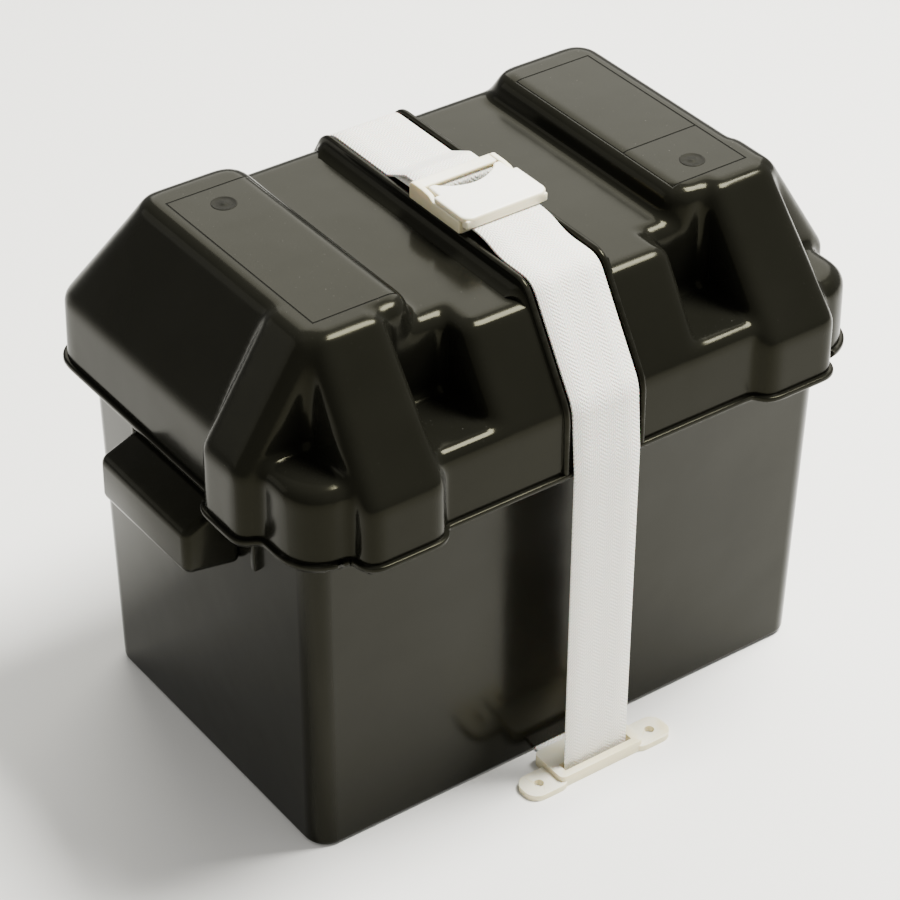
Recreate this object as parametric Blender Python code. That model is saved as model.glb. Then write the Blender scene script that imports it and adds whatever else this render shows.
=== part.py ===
"""Battery box for a group 24 battery: a moulded tub and lift-off lid, a webbing strap with a cam
buckle, and two hold-down brackets that screw to the floor.

X runs along the long side, the strap crosses in Y, and the front is at -Y. The origin is on the
floor, under the middle of the tub. Sizes are in metres.
"""
import math

import bmesh
import bpy
from mathutils import Vector

GAP = 0.0003                  # clearance between touching pieces
BEYOND = 0.3                  # how far cutting tools reach past the object

# Webbing
STRAP_WIDTH = 0.038
STRAP_THICK = 0.0015
STRAP_CLEAR = 0.0015          # beside the webbing, each side
STRAP_HALF = STRAP_WIDTH / 2 + STRAP_CLEAR
STRAP_OFF = GAP + STRAP_THICK / 2   # middle of the webbing above what it lies on
STRAP_BEND = 0.004            # rounding where the webbing turns at the floor

# Tub
TUB_LENGTH = 0.296            # outside, at the floor
TUB_WIDTH = 0.188             # outside, at the floor
TUB_HEIGHT = 0.219            # floor to the top of the flange
TUB_DRAFT = 0.0175            # outward lean of each wall per metre of height
TUB_WALL = 0.003
TUB_CORNER = 0.012
TUB_FOOT = 0.0025             # chamfer round the bottom
FLANGE_THICK = 0.003
FLANGE_END = 0.0035           # how far the flange stands out at the ends
FLANGE_SIDE = 0.006           # and at the front and back
TROUGH_DEPTH = STRAP_THICK + 0.0011   # trough under the tub that the webbing lies in
RIB_THICK = 0.0036
RIB_PROUD = 0.0035
RIB_FOOT = 0.0025             # how far a rib stands out at its lower end
RIB_SPREAD = 0.052            # from the middle to each end rib
RIB_HEIGHT = 0.072

# End handles, open below
HANDLE_WIDTH = 0.076
HANDLE_REACH = 0.029          # how far the lip stands out from the wall
HANDLE_TOP = 0.0108           # height of the lip's top edge below the lid's rim
HANDLE_LIP = 0.024
HANDLE_WALL = 0.003
HANDLE_RISE = 0.0055          # lower edge of the cheeks, from the wall up to the lip
HANDLE_ROOT = 0.0035          # top of the hood at the wall, above the lid's rim

# Lid heights
LID_WALL = 0.0025
RIM_HEIGHT = TUB_HEIGHT - 0.038       # floor to the lid's rim
CREASE_HEIGHT = TUB_HEIGHT - 0.002    # top of the skirt, where the slopes start
SHELF_HEIGHT = TUB_HEIGHT + GAP + LID_WALL
ROOF_HEIGHT = TUB_HEIGHT + 0.043
DOME_HEIGHT = ROOF_HEIGHT + 0.014
PILLAR_CREASE = CREASE_HEIGHT - 0.004
RIM_PROUD = 0.0022
RIM_THICK = 0.0028
SKIRT_DRAFT = 0.012
LID_CORNER = TUB_CORNER + 0.006
RIM_CORNER = 0.005            # rounding of the rim at the pillars

# Lid half lengths at the crease, which clear the tub's flange
FLANGE_X = TUB_LENGTH / 2 + TUB_DRAFT * TUB_HEIGHT + FLANGE_END
SKIRT_END = FLANGE_X + LID_WALL + 0.0026675
END_PILLAR_REACH = SKIRT_END + 0.010
DOME_OUTER = SKIRT_END - 0.0295
DOME_INNER = DOME_OUTER - 0.0555      # dome top, from the middle
DOME_FOOT = DOME_INNER - 0.0045       # dome side where it meets the roof
DOME_CORNER = 0.012
PILLAR_OUTER = DOME_OUTER + 0.005     # front pillars
PILLAR_INNER = PILLAR_OUTER - 0.045
PILLAR_LAP = 0.010            # how far the front runs into the pillars
NOTCH_INNER = PILLAR_OUTER - 0.001    # corner notches between the pillars
RECESS_INNER = PILLAR_INNER - 0.031   # front recesses beside the middle block
END_PILLAR_ROOT = DOME_OUTER - 0.031
END_PILLAR_TOP = DOME_OUTER + 0.002

# Lid half widths at the crease
FLANGE_Y = TUB_WIDTH / 2 + TUB_DRAFT * TUB_HEIGHT + FLANGE_SIDE
LOBE_FRONT = FLANGE_Y + LID_WALL + 0.0021675   # front of the corner lobes
SKIRT_FRONT = LOBE_FRONT + 0.0051     # front skirt between the pillars
SKIRT_BACK = LOBE_FRONT + 0.0017
PILLAR_FRONT = SKIRT_FRONT + 0.0079
ROOF_FRONT = SKIRT_FRONT - 0.0286
ROOF_BACK = SKIRT_BACK - 0.0262
DOME_FRONT = LOBE_FRONT - 0.0355
RECESS_BACK = ROOF_FRONT - 0.015
NOTCH_BACK = DOME_FRONT - 0.001
PILLAR_ROOT = DOME_FRONT - 0.033
END_PILLAR_FAR = DOME_FRONT           # end pillars, near the front corners
END_PILLAR_NEAR = END_PILLAR_FAR - 0.037

# Strap seat moulded across the lid
LIP_RISE = STRAP_THICK + 0.0013
LIP_THICK = 0.0028
SEAT_HEIGHT = ROOF_HEIGHT + 0.0065    # floor of the seat over the roof
SEAT_FLARE = 0.007                    # widening of the raised band at its foot
SEAT_END = ROOF_BACK - 0.005          # band ends on the roof, front and back
SEAT_LIP_SLOPE = RIM_PROUD - 0.0001   # how far the lips stand out on the slopes and skirts
SEAT_ROUND = 0.006            # rounding of the seat's corners, which the webbing follows
BAND_SINK = 0.01              # how deep the band's foot goes into the roof

# Buckle, flat over the middle of the seat
BUCKLE_WIDTH = STRAP_WIDTH + 0.010
BUCKLE_FRONT = -0.038
BUCKLE_BACK = 0.007
BASE_THICK = 0.0017
CHEEK_THICK = 0.0030
BRIDGE_DEPTH = 0.0088
BRIDGE_THICK = 0.0030
BAR_DEPTH = 0.0042
BAR_THICK = 0.0019
CHEEK_HEIGHT = 2 * STRAP_THICK + 0.0048
LEVER_SINK = 0.001            # underside of the lever, below the cheeks' height
PIVOT_Y = -0.0055
PIVOT_RISE = CHEEK_HEIGHT - 0.0020    # above the seat lips
PIVOT_RADIUS = 0.0012
PIVOT_SKIN = 0.001            # plastic left outside each blind pivot hole
ARM_THICK = 0.0024
ARM_RADIUS = 0.0024
ARM_LAP = 0.002               # how far an arm runs into the thumb plate
CAM_TIP = 0.002               # length of the cam rib's edge on the webbing
CAM_ROOT = 0.006
LEVER_THICK = 0.0032
LEVER_BACK = -0.0125
BASE_BACK = LEVER_BACK - 0.0005
FRAME_FRONT = BUCKLE_FRONT + 0.002
SHOULDER = 0.0028             # top of the cheeks over the pivot
LIFT_START = SEAT_END - 0.009         # where the webbing leaves the seat to rise to the buckle
LEAD_IN = 0.006               # level webbing in front of the buckle
LEAD_BACK = 0.010             # and behind it
LAP_RISE = 0.003              # where the sewn lap straightens behind the bar
LAP_END = BUCKLE_BACK + 0.027         # end of the sewn lap under the rear run

# Hold-down brackets
BRACKET_STATION = TUB_WIDTH / 2 + 0.0235   # where the webbing drops through each bracket
BRACKET_LENGTH = STRAP_WIDTH + 0.050
BRACKET_OUTER = BRACKET_STATION + STRAP_THICK + 0.0070
BRACKET_INNER = TUB_WIDTH / 2 + 0.007
BRACKET_THICK = 0.0065
BRACKET_FOOT = 0.0034         # thickness at the screw lugs
BRACKET_BAR = 0.0040
SLING_RISE = 0.0035           # webbing straight down this far above the bracket
BRACKET_SET = 0.0015          # outer bar behind the lugs' outer edge
BRACKET_CORNER = 0.003
LUG_ROUND = 0.42              # lug corners, as a share of the lug's depth
BRACKET_SIDE = 0.005          # body beside the slot
LUG_DEPTH = 0.0170
LUG_LAP = 0.006               # how far a lug runs into the body
SCREW_BORE = 0.0050
SCREW_SPREAD = BRACKET_LENGTH / 2 - 0.0095

BLACK = (0.018, 0.018, 0.015)
WHITE = (0.84, 0.83, 0.80)
NYLON = (0.78, 0.74, 0.62)


def material(name, color, roughness):
    made = bpy.data.materials.new(name)
    made.use_nodes = True
    shader = made.node_tree.nodes["Principled BSDF"]
    shader.inputs["Base Color"].default_value = (*color, 1.0)
    shader.inputs["Roughness"].default_value = roughness
    shader.inputs["Metallic"].default_value = 0.0
    return made


def finish(thing, look, smooth_angle=math.radians(35)):
    thing.data.materials.clear()
    thing.data.materials.append(look)
    thing.data.shade_smooth()
    thing.data.set_sharp_from_angle(angle=smooth_angle)
    return thing


def from_bmesh(name, shape):
    bmesh.ops.recalc_face_normals(shape, faces=shape.faces)
    mesh = bpy.data.meshes.new(name)
    shape.to_mesh(mesh)
    shape.free()
    thing = bpy.data.objects.new(name, mesh)
    bpy.context.scene.collection.objects.link(thing)
    return thing


def loft(name, rings):
    """Closed solid through rings that hold the same number of points each."""
    shape = bmesh.new()
    loops = [[shape.verts.new(point) for point in ring] for ring in rings]
    count = len(loops[0])
    for lower, upper in zip(loops, loops[1:]):
        for i in range(count):
            j = (i + 1) % count
            shape.faces.new((lower[i], lower[j], upper[j], upper[i]))
    shape.faces.new(list(reversed(loops[0])))
    shape.faces.new(loops[-1])
    return from_bmesh(name, shape)


def hull(name, points):
    shape = bmesh.new()
    for point in points:
        shape.verts.new(point)
    bmesh.ops.convex_hull(shape, input=shape.verts)
    loose = [vert for vert in shape.verts if not vert.link_faces]
    bmesh.ops.delete(shape, geom=loose, context="VERTS")
    bmesh.ops.dissolve_limit(shape, angle_limit=0.001, verts=shape.verts, edges=shape.edges)
    return from_bmesh(name, shape)


def box(name, low, high):
    corners = [(x, y, z) for x in (low[0], high[0]) for y in (low[1], high[1])
               for z in (low[2], high[2])]
    return hull(name, corners)


def slab(name, outline, low_x, high_x):
    """Solid with a (y, z) outline, running along X."""
    return loft(name, [[(x, y, z) for y, z in outline] for x in (low_x, high_x)])


def plate(name, outline, low_z, high_z):
    """Solid with an (x, y) outline, running up Z."""
    return loft(name, [[(x, y, z) for x, y in outline] for z in (low_z, high_z)])


def rounded_outline(low_x, high_x, low_y, high_y, radius, steps=5):
    """Rounded rectangle as (x, y) points, anticlockwise."""
    centres = ((high_x - radius, high_y - radius, 0), (low_x + radius, high_y - radius, 90),
               (low_x + radius, low_y + radius, 180), (high_x - radius, low_y + radius, 270))
    points = []
    for x, y, start in centres:
        for step in range(steps + 1):
            angle = math.radians(start + 90 * step / steps)
            points.append((x + radius * math.cos(angle), y + radius * math.sin(angle)))
    return points


def rounded_path(points, radius, steps=4):
    """Open 2D path with its corners turned into arcs."""
    path = [Vector(points[0])]
    for before, corner, after in zip(points, points[1:], points[2:]):
        corner = Vector(corner)
        back = (Vector(before) - corner)
        ahead = (Vector(after) - corner)
        reach = min(radius, back.length * 0.45, ahead.length * 0.45)
        start = corner + back.normalized() * reach
        end = corner + ahead.normalized() * reach
        for step in range(steps + 1):
            t = step / steps
            path.append(start * (1 - t) ** 2 + corner * 2 * t * (1 - t) + end * t ** 2)
    path.append(Vector(points[-1]))
    return [(point.x, point.y) for point in path]


def offset_path(points, distance):
    """Open 2D path moved to its left by a distance."""
    moved = []
    for i, point in enumerate(points):
        here = Vector(point)
        normals = []
        for first, second in ((i - 1, i), (i, i + 1)):
            if first >= 0 and second < len(points):
                run = (Vector(points[second]) - Vector(points[first])).normalized()
                normals.append(Vector((-run.y, run.x)))
        middle = sum(normals, Vector((0, 0))).normalized()
        moved.append(tuple(here + middle * distance / max(middle.dot(normals[0]), 0.5)))
    return moved


def ribbon(name, path, width, thick):
    """Flat strip of webbing along a (y, z) path."""
    upper = offset_path(path, thick / 2)
    lower = offset_path(path, -thick / 2)
    return slab(name, upper + lower[::-1], -width / 2, width / 2)


def boolean(target, tools, operation):
    """Join or cut with closed solids, which are used up."""
    for tool in tools:
        step = target.modifiers.new(operation, "BOOLEAN")
        step.operation = operation
        step.solver = "EXACT"
        step.object = tool
    bpy.context.view_layer.update()
    graph = bpy.context.evaluated_depsgraph_get()
    result = bpy.data.meshes.new_from_object(target.evaluated_get(graph))
    target.modifiers.clear()
    target.data = result
    for tool in tools:
        bpy.data.objects.remove(tool)
    return target


def join(name, parts):
    whole = boolean(parts[0], parts[1:], "UNION")
    whole.name = name
    return whole


def both_sides(make):
    """Build a piece on each side of the lid: the side is +1 or -1."""
    return [make(side) for side in (1, -1)]


def clean(thing):
    """Merge the slivers that cutting leaves, far below any real size."""
    shape = bmesh.new()
    shape.from_mesh(thing.data)
    bmesh.ops.remove_doubles(shape, verts=shape.verts, dist=0.00002)
    bmesh.ops.dissolve_degenerate(shape, edges=shape.edges, dist=0.00001)
    shape.to_mesh(thing.data)
    shape.free()
    return thing


def tub_half(overall, height):
    return overall / 2 + TUB_DRAFT * height


def tub_ring(height, grow, radius, spread=(0.0, 0.0)):
    half_x = tub_half(TUB_LENGTH, height) + grow + spread[0]
    half_y = tub_half(TUB_WIDTH, height) + grow + spread[1]
    return [(x, y, height) for x, y in rounded_outline(-half_x, half_x, -half_y, half_y, radius)]


def handle(side):
    """Hood on one end wall: sloping top, upright lip, cheeks at both sides, open below."""
    wall_x = tub_half(TUB_LENGTH, RIM_HEIGHT)
    lip_x = wall_x + HANDLE_REACH
    lip_top = RIM_HEIGHT - HANDLE_TOP
    lip_bottom = lip_top - HANDLE_LIP
    root_top = RIM_HEIGHT + HANDLE_ROOT
    root_bottom = lip_bottom - HANDLE_RISE
    half = HANDLE_WIDTH / 2

    def outline(thick, drop):
        inner_x = wall_x - 2 * TUB_WALL / 3 if not thick else wall_x + TUB_WALL / 3
        return [(inner_x, root_bottom - drop), (lip_x - thick, lip_bottom - drop),
                (lip_x - thick, lip_top - thick), (inner_x, root_top - thick)]

    def hood(name, points, reach):
        rings = [[(side * x, y, z) for x, z in points] for y in (-reach, reach)]
        return loft(name, rings)

    outer = hood("hood", outline(0, 0), half)
    cut = hood("hollow", outline(HANDLE_WALL, 0.01), half - HANDLE_WALL)
    return boolean(outer, [cut], "DIFFERENCE")


def end_rib(side, place):
    """Upright rib on an end wall, from under the flange."""
    top = TUB_HEIGHT - FLANGE_THICK / 2
    bottom = TUB_HEIGHT - RIB_HEIGHT
    half = RIB_THICK / 2
    points = []
    for height, proud in ((top, RIB_PROUD), (bottom, RIB_FOOT)):
        wall_x = tub_half(TUB_LENGTH, height)
        for x in (wall_x - 2 * TUB_WALL / 3, wall_x + proud):
            points += [(side * x, place + y, height) for y in (-half, half)]
    return hull("rib", points)


def make_tub():
    inner_corner = TUB_CORNER - TUB_WALL
    outer = loft("outer", [tub_ring(0, -TUB_FOOT, TUB_CORNER - TUB_FOOT),
                           tub_ring(TUB_FOOT, 0, TUB_CORNER),
                           tub_ring(TUB_HEIGHT, 0, TUB_CORNER)])
    flange = loft("flange", [tub_ring(TUB_HEIGHT - FLANGE_THICK, 0, TUB_CORNER,
                                      (FLANGE_END, FLANGE_SIDE)),
                             tub_ring(TUB_HEIGHT, 0, TUB_CORNER, (FLANGE_END, FLANGE_SIDE))])
    ribs = [end_rib(side, place * RIB_SPREAD) for side in (1, -1) for place in (1, -1)]
    tub = join("tub", [outer, flange, *both_sides(handle), *ribs])
    hollow = loft("hollow", [tub_ring(TUB_WALL, -TUB_WALL, inner_corner),
                             tub_ring(TUB_HEIGHT + TUB_WALL, -TUB_WALL, inner_corner)])
    half = STRAP_HALF
    trough = box("trough", (-half, -TUB_WIDTH, -TUB_WALL), (half, TUB_WIDTH, TROUGH_DEPTH))
    boolean(tub, [hollow, trough], "DIFFERENCE")
    reach = TUB_WIDTH / 2 - TUB_WALL / 3
    pad = box("pad", (-half - TUB_WALL, -reach, TROUGH_DEPTH + GAP),
              (half + TUB_WALL, reach, TROUGH_DEPTH + TUB_WALL))
    boolean(tub, [pad], "UNION")
    return finish(clean(tub), material("tub_black", BLACK, 0.16))


def slope_back(height):
    share = (height - CREASE_HEIGHT) / (ROOF_HEIGHT - CREASE_HEIGHT)
    return SKIRT_BACK + (ROOF_BACK - SKIRT_BACK) * share


def slope_front(height):
    share = (height - CREASE_HEIGHT) / (ROOF_HEIGHT - CREASE_HEIGHT)
    return SKIRT_FRONT + (ROOF_FRONT - SKIRT_FRONT) * share


def lid_ring(height, half_x, front, back, radius, inset):
    points = rounded_outline(-half_x + inset, half_x - inset, -front + inset, back - inset,
                             max(radius - inset, 0.002))
    return [(x, y, height) for x, y in points]


def lid_foot(inset):
    """Bottom of the lid's solid: at the rim outside, and below it for the hollow."""
    return RIM_HEIGHT - (4 * RIM_THICK if inset else 0.0)


def lid_body(inset):
    """Skirt, then one slope all round up to the tops of the domes."""
    foot = lid_foot(inset)
    flare = SKIRT_DRAFT * (CREASE_HEIGHT - foot)
    return loft("body", [
        lid_ring(foot, SKIRT_END + flare, LOBE_FRONT + flare, SKIRT_BACK + flare, LID_CORNER,
                 inset),
        lid_ring(CREASE_HEIGHT, SKIRT_END, LOBE_FRONT, SKIRT_BACK, LID_CORNER, inset),
        lid_ring(DOME_HEIGHT - inset, DOME_OUTER, DOME_FRONT, slope_back(DOME_HEIGHT), DOME_CORNER,
                 inset)])


def roof_cut(inset):
    """Space between the two domes, down to the roof."""
    lean = (DOME_INNER - DOME_FOOT) / (DOME_HEIGHT - ROOF_HEIGHT)
    points = []
    for height in (ROOF_HEIGHT - inset, DOME_HEIGHT + BAND_SINK):
        reach = DOME_FOOT + lean * (height - ROOF_HEIGHT + inset) + inset
        points += [(x, y, height) for x in (-reach, reach) for y in (-BEYOND, BEYOND)]
    return hull("roof_cut", points)


def lid_front(inset):
    """Middle of the front, which stands proud of the corner lobes."""
    foot = lid_foot(inset)
    half = (PILLAR_INNER + PILLAR_OUTER) / 2 - inset
    flare = SKIRT_DRAFT * (CREASE_HEIGHT - foot)
    points = []
    for x in (-half, half):
        points += [(x, -SKIRT_FRONT - flare + inset, foot),
                   (x, -SKIRT_FRONT + inset, CREASE_HEIGHT),
                   (x, -ROOF_FRONT + inset, ROOF_HEIGHT - inset),
                   (x, 0, ROOF_HEIGHT - inset), (x, 0, foot)]
    return hull("front", points)


def front_pillar(side, inset):
    foot = lid_foot(inset)
    flare = SKIRT_DRAFT * (CREASE_HEIGHT - foot)
    top = DOME_HEIGHT - inset
    points = []
    for x in (PILLAR_INNER + inset, PILLAR_OUTER - inset):
        points += [(side * x, -PILLAR_FRONT - flare + inset, foot),
                   (side * x, -PILLAR_FRONT + inset, PILLAR_CREASE),
                   (side * x, -PILLAR_ROOT, foot)]
    for x in (PILLAR_INNER + inset, DOME_OUTER - inset):
        points += [(side * x, -DOME_FRONT + inset, top), (side * x, -PILLAR_ROOT, top)]
    return hull("front_pillar", points)


def end_pillar(side, inset):
    foot = lid_foot(inset)
    flare = SKIRT_DRAFT * (CREASE_HEIGHT - foot)
    top = DOME_HEIGHT - inset
    points = []
    for y in (-END_PILLAR_NEAR - inset, -END_PILLAR_FAR + inset):
        points += [(side * (END_PILLAR_REACH + flare - inset), y, foot),
                   (side * (END_PILLAR_REACH - inset), y, CREASE_HEIGHT),
                   (side * (END_PILLAR_TOP - inset), y, top),
                   (side * END_PILLAR_ROOT, y, top), (side * END_PILLAR_ROOT, y, foot)]
    return hull("end_pillar", points)


def front_recess(side, grow):
    """Pocket beside the middle block, with its shelf level with the tub's flange."""
    low = SHELF_HEIGHT - grow
    inner, outer = sorted((side * (RECESS_INNER - grow), side * (PILLAR_INNER + 2 * grow)))
    return box("recess", (inner, -BEYOND, low), (outer, -RECESS_BACK + grow, DOME_HEIGHT + BEYOND))


def corner_notch(side, grow):
    low = SHELF_HEIGHT - grow
    inner, outer = sorted((side * (NOTCH_INNER - grow), side * (SKIRT_END + BEYOND)))
    return box("notch", (inner, -BEYOND, low), (outer, -NOTCH_BACK + grow, DOME_HEIGHT + BEYOND))


def seat_path(rise):
    """Strap seat across the lid as a (y, z) path from the front rim to the back rim."""
    flare = SKIRT_DRAFT * (CREASE_HEIGHT - RIM_HEIGHT)
    top = SEAT_HEIGHT
    low = RIM_HEIGHT + RIM_THICK + GAP
    path = [(-SKIRT_FRONT - flare, low), (-SKIRT_FRONT, CREASE_HEIGHT), (-slope_front(top), top),
            (slope_back(top), top), (SKIRT_BACK, CREASE_HEIGHT), (SKIRT_BACK + flare, low)]
    return offset_path(rounded_path(path, SEAT_ROUND), rise)


def seat_half(side, rise):
    """One side of the seat path, from its crease up to the roof."""
    path = seat_path(rise)
    half = path[:len(path) // 2] if side < 0 else path[:len(path) // 2 - 1:-1]
    return half[1:]


def seat_band():
    """Raised band across the lid: wide at its foot over the roof, narrow lips on the slopes."""
    half = STRAP_HALF + LIP_THICK
    path = seat_path(SEAT_LIP_SLOPE)
    low = RIM_HEIGHT + RIM_THICK / 2
    outline = [(path[0][0], low)] + path[1:-1] + [(path[-1][0], low)]
    lips = slab("lips", outline, -half, half)
    top = SEAT_HEIGHT + LIP_RISE
    points = []
    for height, wide, end in ((top, half + GAP, SEAT_END - LIP_THICK),
                              (ROOF_HEIGHT, half + SEAT_FLARE, SEAT_END + LIP_THICK),
                              (ROOF_HEIGHT - BAND_SINK, half + SEAT_FLARE, SEAT_END)):
        points += [(x, y, height) for x in (-wide, wide) for y in (-end, end)]
    return [lips, hull("band", points)]


def seat_cut():
    """What the webbing lies in: everything above the seat path, between the lips."""
    path = seat_path(0.0)
    out = SKIRT_FRONT + BEYOND
    sky = DOME_HEIGHT + BEYOND
    above = [(out, path[-1][1]), (out, sky), (-out, sky), (-out, path[0][1])]
    return slab("seat_cut", path + above, -STRAP_HALF, STRAP_HALF)


def rim():
    """Thin flange round the foot of the skirt, following every pillar and lobe."""
    flare = SKIRT_DRAFT * (CREASE_HEIGHT - RIM_HEIGHT)
    low = RIM_HEIGHT
    high = RIM_HEIGHT + RIM_THICK
    proud = RIM_PROUD + flare
    end = SKIRT_END + proud
    corner = LID_CORNER + RIM_PROUD
    outlines = [rounded_outline(-end, end, -LOBE_FRONT - proud, SKIRT_BACK + proud, corner)]
    front_half = PILLAR_INNER + PILLAR_LAP
    outlines.append(rounded_outline(-front_half, front_half, -SKIRT_FRONT - proud, 0, RIM_CORNER))
    for side in (1, -1):
        x = sorted((side * (PILLAR_INNER - RIM_PROUD), side * (PILLAR_OUTER + RIM_PROUD)))
        outlines.append(rounded_outline(*x, -PILLAR_FRONT - proud, 0, RIM_CORNER))
        x = sorted((side * END_PILLAR_ROOT, side * (END_PILLAR_REACH + proud)))
        outlines.append(rounded_outline(*x, -END_PILLAR_FAR - RIM_PROUD,
                                        -END_PILLAR_NEAR + RIM_PROUD, RIM_CORNER))
    return [plate("rim", outline, low, high) for outline in outlines]


def lid_solid(inset):
    """The lid's outer form, or with an inset its hollow."""
    body = boolean(lid_body(inset), [roof_cut(inset)], "DIFFERENCE")
    parts = [body, lid_front(inset)]
    for make in (front_pillar, end_pillar):
        parts += [make(side, inset) for side in (1, -1)]
    whole = join("lid", parts)
    cuts = [make(side, inset) for make in (front_recess, corner_notch) for side in (1, -1)]
    return boolean(whole, cuts, "DIFFERENCE")


def make_lid():
    lid = lid_solid(0.0)
    boolean(lid, seat_band(), "UNION")
    boolean(lid, rim(), "UNION")
    boolean(lid, [seat_cut(), lid_solid(LID_WALL)], "DIFFERENCE")
    return finish(clean(lid), material("lid_black", BLACK, 0.14))


def strap_drop(side):
    """Webbing outside the skirt, from beside the rim down to the bracket, as (y, z) points."""
    rim_y = (SKIRT_FRONT if side < 0 else SKIRT_BACK) + RIM_PROUD
    rim_y += SKIRT_DRAFT * (CREASE_HEIGHT - RIM_HEIGHT)
    return [(side * (rim_y + STRAP_OFF), RIM_HEIGHT + RIM_THICK),
            (side * BRACKET_STATION, BRACKET_THICK + SLING_RISE)]


def make_sling():
    """Webbing under the tub and up both sides to the lid's rim."""
    low = STRAP_OFF
    front = strap_drop(-1)
    back = strap_drop(1)
    split = RIM_HEIGHT - GAP
    points = [(front[0][0], split), front[1], (-BRACKET_STATION, low), (BRACKET_STATION, low),
              back[1], (back[0][0], split)]
    sling = ribbon("strap_sling", rounded_path(points, STRAP_BEND), STRAP_WIDTH, STRAP_THICK)
    return finish(sling, material("webbing_white", WHITE, 0.85))


def buckle_seat():
    """Height of the lips' tops, which the buckle rests on."""
    return SEAT_HEIGHT + LIP_RISE + GAP


def run_height():
    """Middle of the webbing where it lies on the buckle's base."""
    return buckle_seat() + BASE_THICK + STRAP_OFF


def make_front_run():
    """Webbing from the front rim over the lid, into the buckle and under the cam."""
    seat = seat_half(-1, STRAP_OFF)
    drop = strap_drop(-1)
    lift = (-LIFT_START, seat[-1][1])
    inner = rounded_path([seat[-1], lift, (BUCKLE_FRONT - LEAD_IN, run_height()),
                          (BASE_BACK, run_height())], SEAT_ROUND)
    path = [(drop[0][0], RIM_HEIGHT), drop[0]] + seat + inner[1:]
    run = ribbon("strap_front_run", path, STRAP_WIDTH, STRAP_THICK)
    return finish(run, material("webbing_front", WHITE, 0.85))


def make_rear_run():
    """Webbing from the back rim over the lid, with its end sewn round the buckle's crossbar."""
    seat = seat_half(1, STRAP_OFF)
    drop = strap_drop(1)
    over = bar_height() + BAR_THICK / 2 + STRAP_OFF
    under = bar_height() - BAR_THICK / 2 - STRAP_OFF
    bar_front = BUCKLE_BACK - BRIDGE_DEPTH / 2 - BAR_DEPTH / 2 - STRAP_OFF
    inner = rounded_path([seat[-1], (LIFT_START, seat[-1][1]), (BUCKLE_BACK + LEAD_BACK, over),
                          (bar_front, over), (bar_front, under),
                          (BUCKLE_BACK + LAP_RISE, under), (LAP_END, under - GAP)],
                         STRAP_THICK - GAP, 3)
    path = ([(drop[0][0], RIM_HEIGHT), drop[0]] + seat + inner[1:])[::-1]
    run = ribbon("strap_rear_run", path, STRAP_WIDTH, STRAP_THICK)
    return finish(run, material("webbing_rear", WHITE, 0.85))


def bar_height():
    """Middle of the crossbar: one webbing thickness and its clearances above the seat."""
    return buckle_seat() + STRAP_THICK + 2 * GAP + BAR_THICK / 2


def cheek(side):
    """Side wall of the buckle frame, low in front so that the lever closes over it."""
    low = buckle_seat()
    pivot_z = low + PIVOT_RISE
    front_top = lever_underside() - GAP
    tall = low + CHEEK_HEIGHT + BRIDGE_THICK / 2
    outline = [(FRAME_FRONT, low), (BUCKLE_BACK, low), (BUCKLE_BACK, tall),
               (PIVOT_Y + ARM_RADIUS, tall), (PIVOT_Y - SHOULDER, pivot_z + SHOULDER),
               (LEVER_BACK + GAP, front_top), (FRAME_FRONT, front_top)]
    x = sorted((side * BUCKLE_WIDTH / 2, side * (BUCKLE_WIDTH / 2 - CHEEK_THICK)))
    return slab("cheek", outline, *x)


def lever_underside():
    return buckle_seat() + CHEEK_HEIGHT - LEVER_SINK


def make_buckle_frame():
    low = buckle_seat()
    inside = BUCKLE_WIDTH / 2 - CHEEK_THICK / 2
    base = box("base", (-inside, FRAME_FRONT, low), (inside, BASE_BACK, low + BASE_THICK))
    bridge_low = low + CHEEK_HEIGHT - BRIDGE_THICK / 2
    bridge = box("bridge", (-inside, BUCKLE_BACK - BRIDGE_DEPTH, bridge_low),
                 (inside, BUCKLE_BACK - GAP, bridge_low + BRIDGE_THICK))
    middle = BUCKLE_BACK - BRIDGE_DEPTH / 2
    bar = box("bar", (-inside, middle - BAR_DEPTH / 2, bar_height() - BAR_THICK / 2),
              (inside, middle + BAR_DEPTH / 2, bar_height() + BAR_THICK / 2))
    frame = join("buckle_frame", [base, *both_sides(cheek), bridge, bar])
    reach = BUCKLE_WIDTH / 2 - PIVOT_SKIN
    hole = cylinder_x("hole", PIVOT_RADIUS + GAP, -reach, reach, PIVOT_Y, low + PIVOT_RISE)
    boolean(frame, [hole], "DIFFERENCE")
    return finish(clean(frame), material("nylon_frame", NYLON, 0.35))


def circle(radius, centre_y, centre_z, sides=16):
    turn = 2 * math.pi / sides
    return [(centre_y + radius * math.cos(turn * i), centre_z + radius * math.sin(turn * i))
            for i in range(sides)]


def cylinder_x(name, radius, low_x, high_x, centre_y, centre_z):
    return slab(name, circle(radius, centre_y, centre_z), low_x, high_x)


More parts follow.
